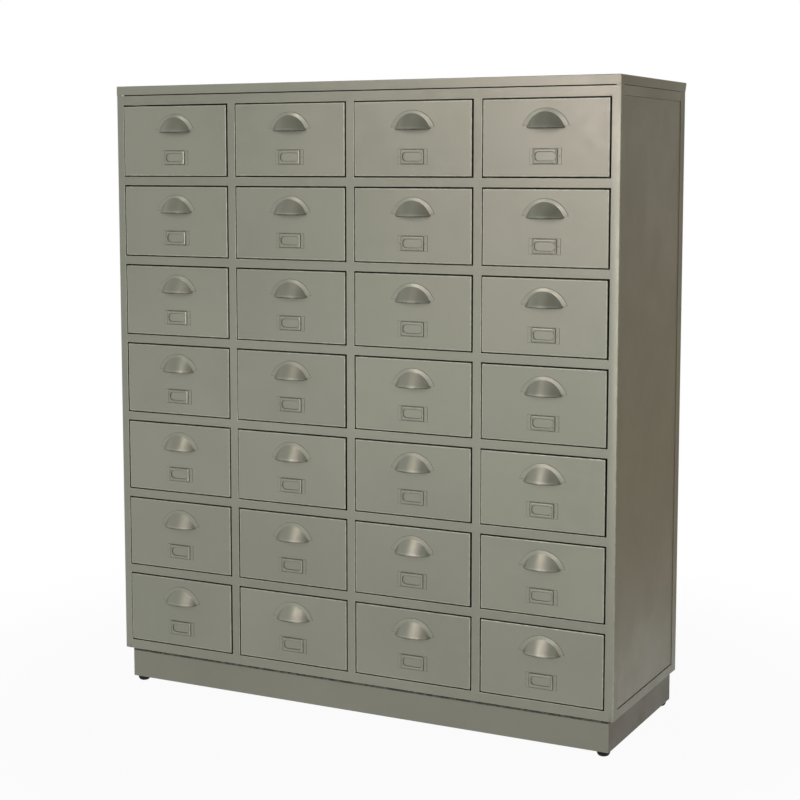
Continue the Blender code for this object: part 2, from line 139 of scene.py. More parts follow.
# Rows of the cup's skin: share of the way down from its arch, and share of its reach
RIM_ALONG = (0.06, 0.25, 0.45, 0.65, 0.80, 0.91, 1.0)
RIM_REACH = (0.06, 0.25, 0.45, 0.65, 0.80, 0.908, 0.975)
RIM_BOW = 0.0012
RIM_DROP_SHARE = 0.35
PULL_FILLET = 0.0012
FILLET_LEAN_SHARE = 0.8
FILLET_STEPS = 5
ARCH_STEPS = 40

# Rows of the flange: share of the way out from the cup, and share of the sheet's thickness
FLANGE_SKIRT_SHARE = 0.12
FLANGE_PROFILE = (
    (-0.25, 1.0),
    (0.86, 1.0),
    (0.94, 0.85),
    (1.0, 0.5),
    (1.0, 0.05),
    (1.0 + FLANGE_SKIRT_SHARE, 0.05),
)
FLANGE_LIFT = 0.0040
FLANGE_HALF_WIDTH = 0.0500
FLANGE_HEIGHT = 0.0352
FLANGE_TUCK = 0.0012
FLANGE_LEAN = 0.0014
FLANGE_LEAN_POWER = 1.5

# Rows of the card holder's plate: growth and height
PLATE_LIFT = SEAT / 4
PLATE_SKIRT = 0.0010
PLATE_CHAMFER = 0.0004
PLATE_ROUND_SHARE = 0.6
PLATE_PROFILE = (
    (PLATE_SKIRT, PLATE_LIFT),
    (0.0, PLATE_LIFT),
    (0.0, PLATE_ROUND_SHARE * HOLDER_SHEET),
    (-PLATE_CHAMFER, HOLDER_SHEET),
)
PLATE_RADIUS = 0.0012

# Rows of the window's lip: growth and depth
LIP_PROFILE = ((0.0, 0.0019), (0.0002, 0.0012), (0.0006, 0.0006), (0.0012, 0.0002), (0.0019, 0.0))
WINDOW_RADIUS = 0.0075

# Rows of the pocket: inset across, inset up, corner radius and depth
POCKET_PROFILE = (
    (0.0033, 0.0010, 0.0012, 0.0),
    (0.0004, 0.0003, 0.0022, 0.0012),
    (0.0, 0.0, 0.0026, 0.0017),
)
POCKET_RISE = 0.0034
POCKET_MARGIN = 0.0022

# Rows of the skirt round the pocket: inset across and inset up
POCKET_SKIRT = ((0.0, 0.0), (-0.0011, -0.0006), (-0.0021, -0.0011))
POCKET_SKIRT_RADIUS = 0.0026

# Rivets in the holder's ears
RIVET_RADIUS = 0.0017
RIVET_HEIGHT = 0.0008
RIVET_STEPS = 14
RIVET_RINGS = 8

# Limits and steps of the mesh work
CORNER_STEPS = 6
LATHE_STEPS = 48
ROUND_PROFILE = 0.5
MERGE_DISTANCE = 0.000002
FLAT_ANGLE = math.radians(0.5)
SHARP_ANGLE = math.radians(30)
CREASE_ANGLE = math.radians(60)
FACES_SIDEWAYS = 0.9
FACES_AHEAD = 0.5
BEHIND_ROUND = 0.9
BESIDE_ROUND = 1.1
UP = (0, 0, 1)
DOWN = (0, 0, -1)
AHEAD = (0, -1, 0)

# Strips of painted shade along an edge: width, and how much of it fades
EDGE_SHADE = (0.0016, 0.0008)
PLINTH_SHADE = (0.0095, 0.0014)

# How much painted shade, and how much wear with a painted highlight, the paint has in places, from 0 to 1
HIDDEN_SHADE = 0.9
RIM_SHADE = 0.95
FLANGE_OUTLINE_SHADE = 0.65
FLANGE_END_SHADE = 0.4
PLATE_EDGE_SHADE = 0.9
POCKET_EDGE_SHADE = 0.85
BORDER_WEAR_HIGHLIGHT = 0.55
RIM_HIGHLIGHT = 0.3
FLANGE_EDGE_HIGHLIGHT = 0.7
PLATE_WEAR_HIGHLIGHT = 0.6
POCKET_WEAR_HIGHLIGHT = 0.8

# Paint: noises as scale and detail, ranges of noise, shares of the colour, bumps as depth and strength
PIECE_SHIFT = 19.0
NOISE_ROUGHNESS = 0.55
BROAD_NOISE = (2.6, 3.0)
BROAD_RANGE = (0.3, 0.7)
COOL_SHARES = (0.945, 0.955, 0.94)
WARM_SHARES = (1.055, 1.04, 1.045)
MOTTLE_NOISE = (34.0, 4.0)
MOTTLE_RANGE = (0.42, 0.75)
MOTTLE_MOST = 0.55
DUSTY_SHARES = (1.06, 1.06, 1.06)
DEEP_SHARES = (0.93, 0.93, 0.93)
DEEP_MOST = 0.5
# Wear with a painted highlight: noise, range, least and most share; then the pale colour's share and lift
WEAR_HIGHLIGHT_NOISE = (75.0, 4.0)
WEAR_HIGHLIGHT_RANGE = (0.38, 0.66)
WEAR_HIGHLIGHT_LEAST = 0.4
WEAR_HIGHLIGHT_MOST = 0.9
PALE_SHARE = 1.8
PALE_LIFT = 0.04
# Painted shade: noise, range, least and most share, and its nearly black colour
SHADE_NOISE = (110.0, 3.0)
SHADE_RANGE = (0.3, 0.6)
SHADE_LEAST = 0.6
SHADE_MOST = 0.95
SHADE_COLOUR = (0.018, 0.018, 0.014)
CLOUD_SHARE = 0.5
CLOUD_RANGE = (0.35, 0.65)
WAVE_NOISE = (6.5, 1.5)
WAVE_BUMP = (0.0016, 0.2)
PEEL_NOISE = (520.0, 2.0)
PEEL_BUMP = (0.0001, 0.5)

# Bare steel
STEEL_COLOUR = (0.27, 0.27, 0.255)
STEEL_STAIN = (0.19, 0.185, 0.17)
STEEL_STAIN_NOISE = (11.0, 4.0)
STEEL_STAIN_RANGE = (0.35, 0.7)
STEEL_BRIGHT = (0.36, 0.36, 0.345)
STEEL_GRAIN_NOISE = (420.0, 3.0)
STEEL_GRAIN_STRETCH = (1.0, 0.06, 1.0)
STEEL_GRAIN_RANGE = (0.4, 0.7)
STEEL_GRAIN_MOST = 0.4
STEEL_GLOSS_RANGE = (0.3, 0.7)
STEEL_ROUGHNESS = (0.36, 0.55)
STEEL_BUMP = (0.00008, 0.4)
STEEL_METALLIC = 0.85

# Rubber
RUBBER_COLOUR = (0.006, 0.006, 0.005)
RUBBER_DUST = (0.022, 0.021, 0.018)
RUBBER_DUST_NOISE = (120.0, 4.0)
RUBBER_DUST_RANGE = (0.5, 0.8)
RUBBER_DUST_MOST = 0.5
RUBBER_GRAIN_NOISE = (900.0, 3.0)
RUBBER_GLOSS_RANGE = (0.3, 0.7)
RUBBER_ROUGHNESS = (0.5, 0.68)
RUBBER_BUMP = (0.00015, 0.5)
RUBBER_SPECULAR = 0.2

# Floor: tones, the distances over which it turns white, and its share of white near and far
FLOOR_SIZE = 14.0
FLOOR_STEPS = 24
FLOOR_NOISE = (30.0, 4.0)
FLOOR_TONES = ((0.80, 0.80, 0.79), (0.84, 0.84, 0.83))
FLOOR_ROUGHNESS = 0.9
FLOOR_SPECULAR = 0.1
FLOOR_FADE = (0.7, 1.6)
FLOOR_WHITE = (0.95, 1.0)

# Studio: white round the horizon, dark overhead, dimmer to the right of the cabinet
WHITE = (1.0, 1.0, 1.0)
CEILING = 0.04
CEILING_STARTS = 0.48
CEILING_ENDS = 0.70
DIM_COLOUR = (0.42, 0.350, 0.250)
DIM_BEARING = math.radians(72)
DIM_STARTS = math.cos(math.radians(64))
DIM_ENDS = math.cos(math.radians(44))
DIM_FLOOR = (0.57, 0.48, 0.37)
DIM_FLOOR_TURN = math.radians(13.6)
DIM_FLOOR_STARTS = 0.93
DIM_FLOOR_ENDS = 1.25

# Softboxes: name, place, size, power and colour
LAMPS = (
    ("key", (-1.00, -3.04, 2.66), (0.50, 0.50), 18.0, (1.0, 0.95, 0.88)),
    ("sheen", (-0.02, -2.05, 1.50), (0.55, 0.58), 5.0, (1.0, 0.75, 0.82)),
    ("strip", (0.47, -3.17, 0.92), (0.35, 1.72), 14.0, (1.0, 0.98, 0.96)),
    ("fill", (-1.10, -2.60, 0.38), (1.60, 0.55), 2.2, (1.0, 1.0, 1.0)),
)
LAMP_TARGET = (0.25, -0.2, 0.75)

# Camera at the photograph's viewing angle
CAMERA_PLACE = (1.7155, -3.3393, 1.1979)
CAMERA_YAW = math.radians(26.956)
CAMERA_PITCH = math.radians(-6.022)
CAMERA_LENS = 76.011
CAMERA_SENSOR = 36.0
CAMERA_SHIFT = -0.07

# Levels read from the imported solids
post_low, post_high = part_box("front_post_left")
cap_low, cap_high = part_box("top_cap")
rail_low, rail_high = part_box("front_top_rail")
HALF_WIDTH = -post_low.x
FRONT = post_low.y
FRAME_BACK = post_high.y
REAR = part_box("back_panel")[1].y
CARCASS_BOTTOM = post_low.z
OPENINGS_TOP = rail_low.z
RAILS_TOP = rail_high.z
CAP_BOTTOM = cap_low.z
TOP = cap_high.z
COLUMN_PITCH = OPENING_WIDTH + TUBE
ROW_PITCH = OPENING_HEIGHT + TUBE
FRONT_WIDTH = OPENING_WIDTH - 2 * DRAWER_GAP
FRONT_HEIGHT = OPENING_HEIGHT - 2 * DRAWER_GAP
TRAY_WIDTH = FRONT_WIDTH - 2 * TRAY_INSET


def add_layers(work):
    """Let the points of a mesh carry how much wear with a painted highlight, and how much painted shade,
    the paint has.
    """
    work.verts.layers.float.new("wear_and_highlight")
    work.verts.layers.float.new("painted_shade")


def start_mesh():
    """An empty mesh whose points carry wear with a painted highlight, and painted shade."""
    work = bmesh.new()
    add_layers(work)
    return work


def mark(work, layer, points, amount):
    """Set how much wear with a painted highlight, or how much painted shade, some points carry."""
    key = work.verts.layers.float[layer]
    for point in points:
        point[key] = amount


def round_edges(work, edges, radius, segments):
    """Round some edges and mark the middle of each round as worn, which paints it pale as a highlight."""
    wear_and_highlight = work.verts.layers.float["wear_and_highlight"]
    made = bmesh.ops.bevel(
        work,
        geom=edges,
        offset=radius,
        segments=segments,
        profile=ROUND_PROFILE,
        affect="EDGES",
        clamp_overlap=True,
    )
    bent = set(made["faces"])
    for corner in made["verts"]:
        if all(face in bent for face in corner.link_faces):
            corner[wear_and_highlight] = 1.0


def raw_box(work, low, high):
    """The eight points of a block, added to a mesh."""
    made = bmesh.ops.create_cube(work, size=1.0)["verts"]
    for corner in made:
        corner.co = Vector([low[i] + (corner.co[i] + 0.5) * (high[i] - low[i]) for i in range(3)])
    return made


def add_box(work, low, high, radius, segments=EDGE_STEPS):
    """A block with rounded edges."""
    made = raw_box(work, low, high)
    edges = list({edge for corner in made for edge in corner.link_edges})
    round_edges(work, edges, radius, segments)


def add_rows(work, rows, closed=False):
    """A skin over rows of points; a closed row joins its last point to its first."""
    grid = [[work.verts.new(point) for point in row] for row in rows]
    for near, far in zip(grid, grid[1:]):
        count = len(near)
        for index in range(count if closed else count - 1):
            after = (index + 1) % count
            work.faces.new((near[index], near[after], far[after], far[index]))
    return grid


def add_lathe(work, profile, centre):
    """A turned shape about an upright axis, from (radius, height) pairs."""
    rows = []
    for radius, height in profile:
        row = []
        for step in range(LATHE_STEPS):
            angle = 2 * math.pi * step / LATHE_STEPS
            row.append((centre[0] + radius * math.cos(angle), centre[1] + radius * math.sin(angle), height))
        rows.append(row)
    grid = add_rows(work, rows, closed=True)
    work.faces.new(grid[0])
    work.faces.new(list(reversed(grid[-1])))


def place_points(points, centre, size):
    """Scale points by a size along each axis and move them to a centre."""
    for point in points:
        point.co = Vector([centre[i] + point.co[i] * size[i] for i in range(3)])


def mesh_from(name, work, materials):
    """A smooth mesh with creases where it bends sharply."""
    bmesh.ops.recalc_face_normals(work, faces=work.faces)
    mesh = bpy.data.meshes.new(name)
    work.to_mesh(mesh)
    work.free()
    mesh.shade_smooth()
    mesh.set_sharp_from_angle(angle=CREASE_ANGLE)
    for material in materials:
        mesh.materials.append(material)
    return mesh


def piece_from(name, mesh, body, stands_for, place=(0.0, 0.0, 0.0)):
    """A piece of the visual model that rides on a body and stands for some solids."""
    piece = bpy.data.objects.new(name, mesh)
    bpy.context.scene.collection.objects.link(piece)
    piece.location = place
    even = piece.modifiers.new("even shading", "WEIGHTED_NORMAL")
    even.keep_sharp = True
    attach(piece, body)
    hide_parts(*stands_for)


def add_node(tree, kind, **values):
    """A shader node with some of its inputs set by name."""
    node = tree.nodes.new(kind)
    for name, value in values.items():
        node.inputs[name.replace("_", " ")].default_value = value
    return node


def noise(tree, coords, scale, detail):
    """Noise read at some coordinates."""
    node = add_node(tree, "ShaderNodeTexNoise", Scale=scale, Detail=detail, Roughness=NOISE_ROUGHNESS)
    tree.links.new(coords, node.inputs["Vector"])
    return node.outputs["Fac"]


def spread(tree, value, low, high, to_low, to_high):
    """One range of values mapped smoothly to another."""
    node = add_node(tree, "ShaderNodeMapRange", From_Min=low, From_Max=high, To_Min=to_low, To_Max=to_high)
    node.interpolation_type = "SMOOTHSTEP"
    tree.links.new(value, node.inputs["Value"])
    return node.outputs["Result"]


def maths(tree, operation, first, second):
    """A sum, product or other operation on a value and a value or number."""
    node = tree.nodes.new("ShaderNodeMath")
    node.operation = operation
    tree.links.new(first, node.inputs[0])
    if isinstance(second, (int, float)):
        node.inputs[1].default_value = second
    else:
        tree.links.new(second, node.inputs[1])
    return node.outputs["Value"]


def mix_colours(tree, factor, first, second):
    """Two colours, each a socket or a tuple, mixed by a factor."""
    node = tree.nodes.new("ShaderNodeMix")
    node.data_type = "RGBA"
    tree.links.new(factor, node.inputs[0])
    for index, colour in ((6, first), (7, second)):
        if isinstance(colour, tuple):
            node.inputs[index].default_value = (*colour, 1.0)
        else:
            tree.links.new(colour, node.inputs[index])
    return node.outputs[2]


def bump(tree, height, distance, strength, below=None):
    """A bump from a height, laid over another bump."""
    node = add_node(tree, "ShaderNodeBump", Distance=distance, Strength=strength)
    tree.links.new(height, node.inputs["Height"])
    if below is not None:
        tree.links.new(below, node.inputs["Normal"])
    return node.outputs["Normal"]


def point_value(tree, name):
    """A value that the points of the mesh carry."""
    node = tree.nodes.new("ShaderNodeAttribute")
    node.attribute_name = name
    return node.outputs["Fac"]


def shifted_coords(tree):
    """Coordinates on the piece, moved by a different amount for each piece, and the piece's own chance."""
    where = tree.nodes.new("ShaderNodeTexCoord")
    info = tree.nodes.new("ShaderNodeObjectInfo")
    shift = maths(tree, "MULTIPLY", info.outputs["Random"], PIECE_SHIFT)
    move = tree.nodes.new("ShaderNodeVectorMath")
    move.operation = "ADD"
    tree.links.new(where.outputs["Object"], move.inputs[0])
    tree.links.new(shift, move.inputs[1])
    return move.outputs["Vector"], info.outputs["Random"]


def tinted(colour, shares):
    """A colour with each channel scaled by its own share."""
    return tuple(channel * share for channel, share in zip(colour, shares))


def start_material(name):
    """A material with its Principled shader."""
    material = bpy.data.materials.new(name)
    material.use_nodes = True
    tree = material.node_tree
    return material, tree, tree.nodes["Principled BSDF"]


def paint(name, colour, metallic, smooth, rough):
    """Semi-gloss sprayed paint on sheet steel: tone, mottle, orange peel, waves, worn folds with a painted
    highlight, and painted shade.
    """
    material, tree, shader = start_material(name)
    coords, chance = shifted_coords(tree)
    broad = noise(tree, coords, *BROAD_NOISE)
    mottle = noise(tree, coords, *MOTTLE_NOISE)
    peel = noise(tree, coords, *PEEL_NOISE)
    waves = noise(tree, coords, *WAVE_NOISE)
    warmth = spread(tree, broad, *BROAD_RANGE, 0.0, 1.0)
    tone = mix_colours(tree, warmth, tinted(colour, COOL_SHARES), tinted(colour, WARM_SHARES))
    dust = spread(tree, mottle, *MOTTLE_RANGE, 0.0, MOTTLE_MOST)
    tone = mix_colours(tree, dust, tone, tinted(colour, DUSTY_SHARES))
    depth = spread(tree, chance, 0.0, 1.0, 0.0, DEEP_MOST)
    tone = mix_colours(tree, depth, tone, tinted(colour, DEEP_SHARES))
    # Wear with a painted highlight turns the marked points pale
    uneven = spread(tree, noise(tree, coords, *WEAR_HIGHLIGHT_NOISE), *WEAR_HIGHLIGHT_RANGE, WEAR_HIGHLIGHT_LEAST, 1.0)
    rub_and_highlight = maths(tree, "MULTIPLY", point_value(tree, "wear_and_highlight"), uneven)
    pale = tuple(min(1.0, channel * PALE_SHARE + PALE_LIFT) for channel in colour)
    tone = mix_colours(tree, maths(tree, "MULTIPLY", rub_and_highlight, WEAR_HIGHLIGHT_MOST), tone, pale)
    # Painted shade turns the marked points nearly black
    patchy = spread(tree, noise(tree, coords, *SHADE_NOISE), *SHADE_RANGE, SHADE_LEAST, SHADE_MOST)
    shade_paint = maths(tree, "MULTIPLY", point_value(tree, "painted_shade"), patchy)
    tone = mix_colours(tree, shade_paint, tone, SHADE_COLOUR)
    tree.links.new(tone, shader.inputs["Base Color"])
    fine = maths(tree, "MULTIPLY", mottle, CLOUD_SHARE)
    cloud = maths(tree, "ADD", fine, maths(tree, "MULTIPLY", waves, CLOUD_SHARE))
    tree.links.new(spread(tree, cloud, *CLOUD_RANGE, smooth, rough), shader.inputs["Roughness"])
    relief = bump(tree, waves, *WAVE_BUMP)
    relief = bump(tree, peel, *PEEL_BUMP, relief)
    tree.links.new(relief, shader.inputs["Normal"])
    shader.inputs["Metallic"].default_value = metallic
    return material


def bare_steel(name):
    """Dull rolled steel with stains and a lengthwise grain."""
    material, tree, shader = start_material(name)
    coords = shifted_coords(tree)[0]
    stretch = tree.nodes.new("ShaderNodeMapping")
    stretch.inputs["Scale"].default_value = STEEL_GRAIN_STRETCH
    tree.links.new(coords, stretch.inputs["Vector"])
    grain = noise(tree, stretch.outputs["Vector"], *STEEL_GRAIN_NOISE)
    stain = spread(tree, noise(tree, coords, *STEEL_STAIN_NOISE), *STEEL_STAIN_RANGE, 0.0, 1.0)
    tone = mix_colours(tree, stain, STEEL_COLOUR, STEEL_STAIN)
    rubbed = spread(tree, grain, *STEEL_GRAIN_RANGE, 0.0, STEEL_GRAIN_MOST)
    tone = mix_colours(tree, rubbed, tone, STEEL_BRIGHT)
    tree.links.new(tone, shader.inputs["Base Color"])
    roughness = spread(tree, grain, *STEEL_GLOSS_RANGE, *STEEL_ROUGHNESS)
    tree.links.new(roughness, shader.inputs["Roughness"])
    tree.links.new(bump(tree, grain, *STEEL_BUMP), shader.inputs["Normal"])
    shader.inputs["Metallic"].default_value = STEEL_METALLIC
    return material


def rubber(name):
    """Matt moulded rubber with dust on it."""
    material, tree, shader = start_material(name)
    coords = shifted_coords(tree)[0]
    grain = noise(tree, coords, *RUBBER_GRAIN_NOISE)
    dust = spread(tree, noise(tree, coords, *RUBBER_DUST_NOISE), *RUBBER_DUST_RANGE, 0.0, RUBBER_DUST_MOST)
    tone = mix_colours(tree, dust, RUBBER_COLOUR, RUBBER_DUST)
    tree.links.new(tone, shader.inputs["Base Color"])
    roughness = spread(tree, grain, *RUBBER_GLOSS_RANGE, *RUBBER_ROUGHNESS)
    tree.links.new(roughness, shader.inputs["Roughness"])
    tree.links.new(bump(tree, grain, *RUBBER_BUMP), shader.inputs["Normal"])
    shader.inputs["Specular IOR Level"].default_value = RUBBER_SPECULAR
    return material


CARCASS_PAINT = paint("sage_paint", (0.290, 0.295, 0.236), metallic=0.45, smooth=0.30, rough=0.40)
DRAWER_PAINT = paint("drawer_paint", (0.301, 0.307, 0.246), metallic=0.45, smooth=0.34, rough=0.45)
SIDE_PAINT = paint("side_paint", (0.288, 0.287, 0.232), metallic=0.32, smooth=0.44, rough=0.54)
PLINTH_PAINT = paint("scuffed_paint", (0.290, 0.292, 0.233), metallic=0.25, smooth=0.48, rough=0.60)
# A darker copy of the plinth's paint for its ends, as painted shade
SHADED_END_PAINT = paint("shaded_end_paint", (0.180, 0.166, 0.132), metallic=0.20, smooth=0.50, rough=0.62)
RUNNER_STEEL = bare_steel("runner_steel")
FOOT_RUBBER = rubber("black_rubber")


def paint_shade_strip(work, direction, shade_paint):
    """Paint shade on a strip along the outermost edge of a mesh, with a crisp line where the painted shade
    ends.
    """
    width, fade = shade_paint
    axis = Vector(direction)
    edge = max(point.co.dot(axis) for point in work.verts)
    for depth in (width, width - fade):
        whole = work.verts[:] + work.edges[:] + work.faces[:]
        bmesh.ops.bisect_plane(work, geom=whole, plane_co=axis * (edge - depth), plane_no=axis)
    outer = [point for point in work.verts if point.co.dot(axis) > edge - width + fade - MERGE_DISTANCE]
    mark(work, "painted_shade", outer, 1.0)


def dress(node, radius, materials, fit=None, shade_paint=(), segments=EDGE_STEPS):
    """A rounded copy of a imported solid, which stands for it; a second material goes on its sides."""
    work = bmesh.new()
    work.from_mesh(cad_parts[node].data)
    add_layers(work)
    bmesh.ops.remove_doubles(work, verts=work.verts, dist=MERGE_DISTANCE)
    bmesh.ops.dissolve_limit(work, angle_limit=FLAT_ANGLE, verts=work.verts, edges=work.edges)
    if fit is not None:
        for point in work.verts:
            fit(point.co)
    edges = []
    for edge in work.edges:
        if edge.is_manifold and edge.is_convex and edge.calc_face_angle() > SHARP_ANGLE:
            edges.append(edge)
    round_edges(work, edges, radius, segments)
    # Strips of painted shade along the given edges
    for direction, strip in shade_paint:
        paint_shade_strip(work, direction, strip)
    work.normal_update()
    for face in work.faces:
        if len(materials) > 1 and abs(face.normal.x) > FACES_SIDEWAYS:
            face.material_index = 1
    mesh = mesh_from("dressed_" + node, work, materials)
    piece_from("dressed_" + node, mesh, "carcass", [node])


def to_the_cap(place):
    """Raise the upper edges of a side rail until they meet the cap."""
    if place.z > RAILS_TOP - MERGE_DISTANCE:
        place.z = CAP_BOTTOM - SEAT


def behind_the_grooves(place):
    """Draw in the front and lower edges of a side panel, which leaves open grooves."""
    if place.y < FRAME_BACK + TUBE:
        place.y = FRONT + POST_RETURN + FRONT_GROOVE
    if place.z < CARCASS_BOTTOM + 2 * TUBE:
        place.z += GROOVE


def make_sides():
    """Rails and panel of both sides, with painted shade in the grooves between them and under the cap."""
    under_cap = ((UP, EDGE_SHADE),)
    grooves = ((AHEAD, EDGE_SHADE), (DOWN, EDGE_SHADE), (UP, EDGE_SHADE))
    paints = [SIDE_PAINT]
    for side in ("left", "right"):
        dress(f"side_top_rail_{side}", RAIL_EDGE_RADIUS, paints, to_the_cap, under_cap)
        dress(f"side_bottom_rail_{side}", RAIL_EDGE_RADIUS, paints)
        dress(f"side_panel_{side}", SHEET_EDGE_RADIUS, paints, behind_the_grooves, grooves)


def make_base():
    """Plinth with a painted shadow line under the cabinet and its ends painted darker as shade, and the
    bottom panel over it.
    """
    shadow_line = ((UP, PLINTH_SHADE),)
    paints = [PLINTH_PAINT, SHADED_END_PAINT]
    steps = PLINTH_EDGE_STEPS
    dress("plinth", RAIL_EDGE_RADIUS, paints, shade_paint=shadow_line, segments=steps)
    dress("bottom_panel", SHEET_EDGE_RADIUS, [CARCASS_PAINT])


def make_racks():
    """The runner racks, one at each side and one between each pair of columns."""
    for index in range(1, COLUMNS + 2):
        dress(f"runner_rack_{index}", RACK_EDGE_RADIUS, [RUNNER_STEEL])


def face_lines():
    """X of the upright lines and Z of the level lines of the face's grid."""
    across = [-HALF_WIDTH, -HALF_WIDTH + TUBE, -HALF_WIDTH + CLOSURE_LEFT]
    for column in range(COLUMNS):
        left = -HALF_WIDTH + TUBE + column * COLUMN_PITCH
        if column:
            across.append(left)
        across.append(left + OPENING_WIDTH)
    across += [HALF_WIDTH - CLOSURE_RIGHT, HALF_WIDTH]
    up = [CARCASS_BOTTOM]
    for row in range(ROWS, 0, -1):
        floor = OPENINGS_TOP - row * ROW_PITCH + TUBE
        up += [floor, floor + OPENING_HEIGHT]
    up += [RAILS_TOP, CAP_BOTTOM]
    return across, up


def in_opening(x, z):
    """Whether a point of the face lies in a drawer opening."""
    from_left = (x + HALF_WIDTH - TUBE) % COLUMN_PITCH
    from_top = (OPENINGS_TOP - z) % ROW_PITCH
    inside_x = -HALF_WIDTH + TUBE < x < HALF_WIDTH - TUBE and from_left < OPENING_WIDTH
    inside_z = OPENINGS_TOP - ROWS * ROW_PITCH + TUBE < z < OPENINGS_TOP and from_top < OPENING_HEIGHT
    return inside_x and inside_z


def on_outer_side(point):
    """Whether a point lies on the left or right side of the cabinet."""
    return abs(abs(point.co.x) - HALF_WIDTH) < MERGE_DISTANCE


def add_face_grid(work):
    """The steel round the openings, one tube deep, open under the cap and crowned at the corner posts."""
    across, up = face_lines()
    points = [[work.verts.new((x, FRONT, z)) for x in across] for z in up]
    for j in range(len(up) - 1):
        for i in range(len(across) - 1):
            x = (across[i] + across[i + 1]) / 2
            z = (up[j] + up[j + 1]) / 2
            closing = x < -HALF_WIDTH + CLOSURE_LEFT or x > HALF_WIDTH - CLOSURE_RIGHT
            if in_opening(x, z) or (z > RAILS_TOP and not closing):
                continue
            work.faces.new((points[j][i], points[j][i + 1], points[j + 1][i + 1], points[j + 1][i]))
    loose = [point for point in work.verts if not point.link_faces]
    bmesh.ops.delete(work, geom=loose, context="VERTS")
    grown = bmesh.ops.extrude_face_region(work, geom=work.faces[:])["geom"]
    behind = [item for item in grown if isinstance(item, bmesh.types.BMVert)]
    bmesh.ops.translate(work, vec=(0, TUBE, 0), verts=behind)
    for point in work.verts:
        if on_outer_side(point) and abs(point.co.y - FRONT) < MERGE_DISTANCE:
            point.co.y += POST_CROWN
    bmesh.ops.recalc_face_normals(work, faces=work.faces)


def round_face(work):
    """Round the corner posts and the edges of the openings, and paint shade on what lies behind them."""
    corner_edges = []
    opening_edges = []
    for edge in work.edges:
        if not edge.is_convex or edge.calc_face_angle(0.0) < SHARP_ANGLE:
            continue
        upright = abs(edge.verts[0].co.z - edge.verts[1].co.z) > MERGE_DISTANCE
        outside = all(on_outer_side(point) for point in edge.verts)
        ahead = all(point.co.y < FRONT + TUBE / 2 for point in edge.verts)
        if upright and outside and ahead:
            corner_edges.append(edge)
        elif not outside:
            opening_edges.append(edge)
    round_edges(work, corner_edges, POST_EDGE_RADIUS, POST_EDGE_STEPS)
    opening_edges = [edge for edge in opening_edges if edge.is_valid]
    round_edges(work, opening_edges, FACE_EDGE_RADIUS, FACE_EDGE_STEPS)
    # Paint shade on what lies behind the front edges, in the gaps
    hidden = []
    for point in work.verts:
        behind = point.co.y > FRONT + FACE_EDGE_RADIUS * BEHIND_ROUND
        inside = abs(abs(point.co.x) - HALF_WIDTH) > POST_EDGE_RADIUS * BESIDE_ROUND
        if behind and inside:
            hidden.append(point)
    mark(work, "painted_shade", hidden, HIDDEN_SHADE)


def add_post_return(work, side):
    """A post's return along the cabinet's side, and a strip painted dark as shade behind the groove next to
    it.
    """
    near, far = sorted((side * (HALF_WIDTH - RETURN_SHEET), side * HALF_WIDTH))
    low = (near, FRAME_BACK - SEAT, CARCASS_BOTTOM + TUBE + SEAT)
    high = (far, FRONT + POST_RETURN, RAILS_TOP - TUBE - SEAT)
    add_box(work, low, high, FACE_EDGE_RADIUS / 2)
    # A strip painted dark as shade behind the groove
    inner = side * (HALF_WIDTH - RETURN_SHEET - SHEET)
    outer = side * (HALF_WIDTH - RETURN_SHEET + SEAT)
    strip_low = (min(inner, outer), FRONT + POST_RETURN - GROOVE_LAP, low[2])
    strip_high = (max(inner, outer), FRONT + POST_RETURN + FRONT_GROOVE + GROOVE_LAP, high[2])
    mark(work, "painted_shade", raw_box(work, strip_low, strip_high), 1.0)


def make_face():
    """Posts, stiles and rails as one welded and ground grid of tube."""
    work = start_mesh()
    add_face_grid(work)
    round_face(work)
    for side in (-1, 1):
        add_post_return(work, side)
    bmesh.ops.recalc_face_normals(work, faces=work.faces)
    for face in work.faces:
        outside = abs(face.calc_center_median().x) > HALF_WIDTH - MERGE_DISTANCE
        if outside and abs(face.normal.x) > FACES_SIDEWAYS:
            face.material_index = 1
    nodes = ["front_post_left", "front_post_right", "front_top_rail", "front_bottom_rail"]
    nodes += [f"mid_stile_{index}" for index in range(1, COLUMNS)]
    nodes += [f"row_rail_{index}" for index in range(1, ROWS)]
    mesh = mesh_from("face_frame", work, [CARCASS_PAINT, SIDE_PAINT])
    piece_from("face_frame", mesh, "carcass", nodes)


def add_weld(work, centre):
    """A ground weld bead, left as a low lump under the paint."""
    made = bmesh.ops.create_icosphere(work, subdivisions=WELD_SUBDIVISIONS, radius=1.0)["verts"]
    place_points(made, centre, WELD_SIZE)
    # The whole bead is painted pale, as wear with a painted highlight
    mark(work, "wear_and_highlight", made, 1.0)


def make_cap():
    """Folded cap with round folds, welded to the posts at its front corners."""
    work = start_mesh()
    made = raw_box(work, (-HALF_WIDTH, FRONT, CAP_BOTTOM), (HALF_WIDTH, REAR, TOP))
    middle = (CAP_BOTTOM + TOP) / 2
    for point in made:
        if point.co.y > 0 and point.co.z > middle:
            point.co.y += CAP_REAR_LIP
    below = [face for face in work.faces if all(point.co.z < middle for point in face.verts)]
    bmesh.ops.delete(work, geom=below, context="FACES_ONLY")
    folds = [edge for edge in work.edges if not edge.is_boundary]
    round_edges(work, folds, CAP_EDGE_RADIUS, CAP_EDGE_STEPS)
    bmesh.ops.recalc_face_normals(work, faces=work.faces)
    bmesh.ops.solidify(work, geom=work.faces[:], thickness=CAP_SHEET)
    left = -HALF_WIDTH + CLOSURE_LEFT - WELD_FROM_LEFT_END
    right = HALF_WIDTH - CLOSURE_RIGHT + WELD_FROM_RIGHT_END
    for x in (left, right):
        add_weld(work, (x, FRONT + WELD_BACK, CAP_BOTTOM - WELD_DROP))
    work.normal_update()
    for face in work.faces:
        if abs(face.normal.y) < FACES_AHEAD:
            face.material_index = 1
    mesh = mesh_from("cap", work, [CARCASS_PAINT, SIDE_PAINT])
    piece_from("cap", mesh, "carcass", ["top_cap"])


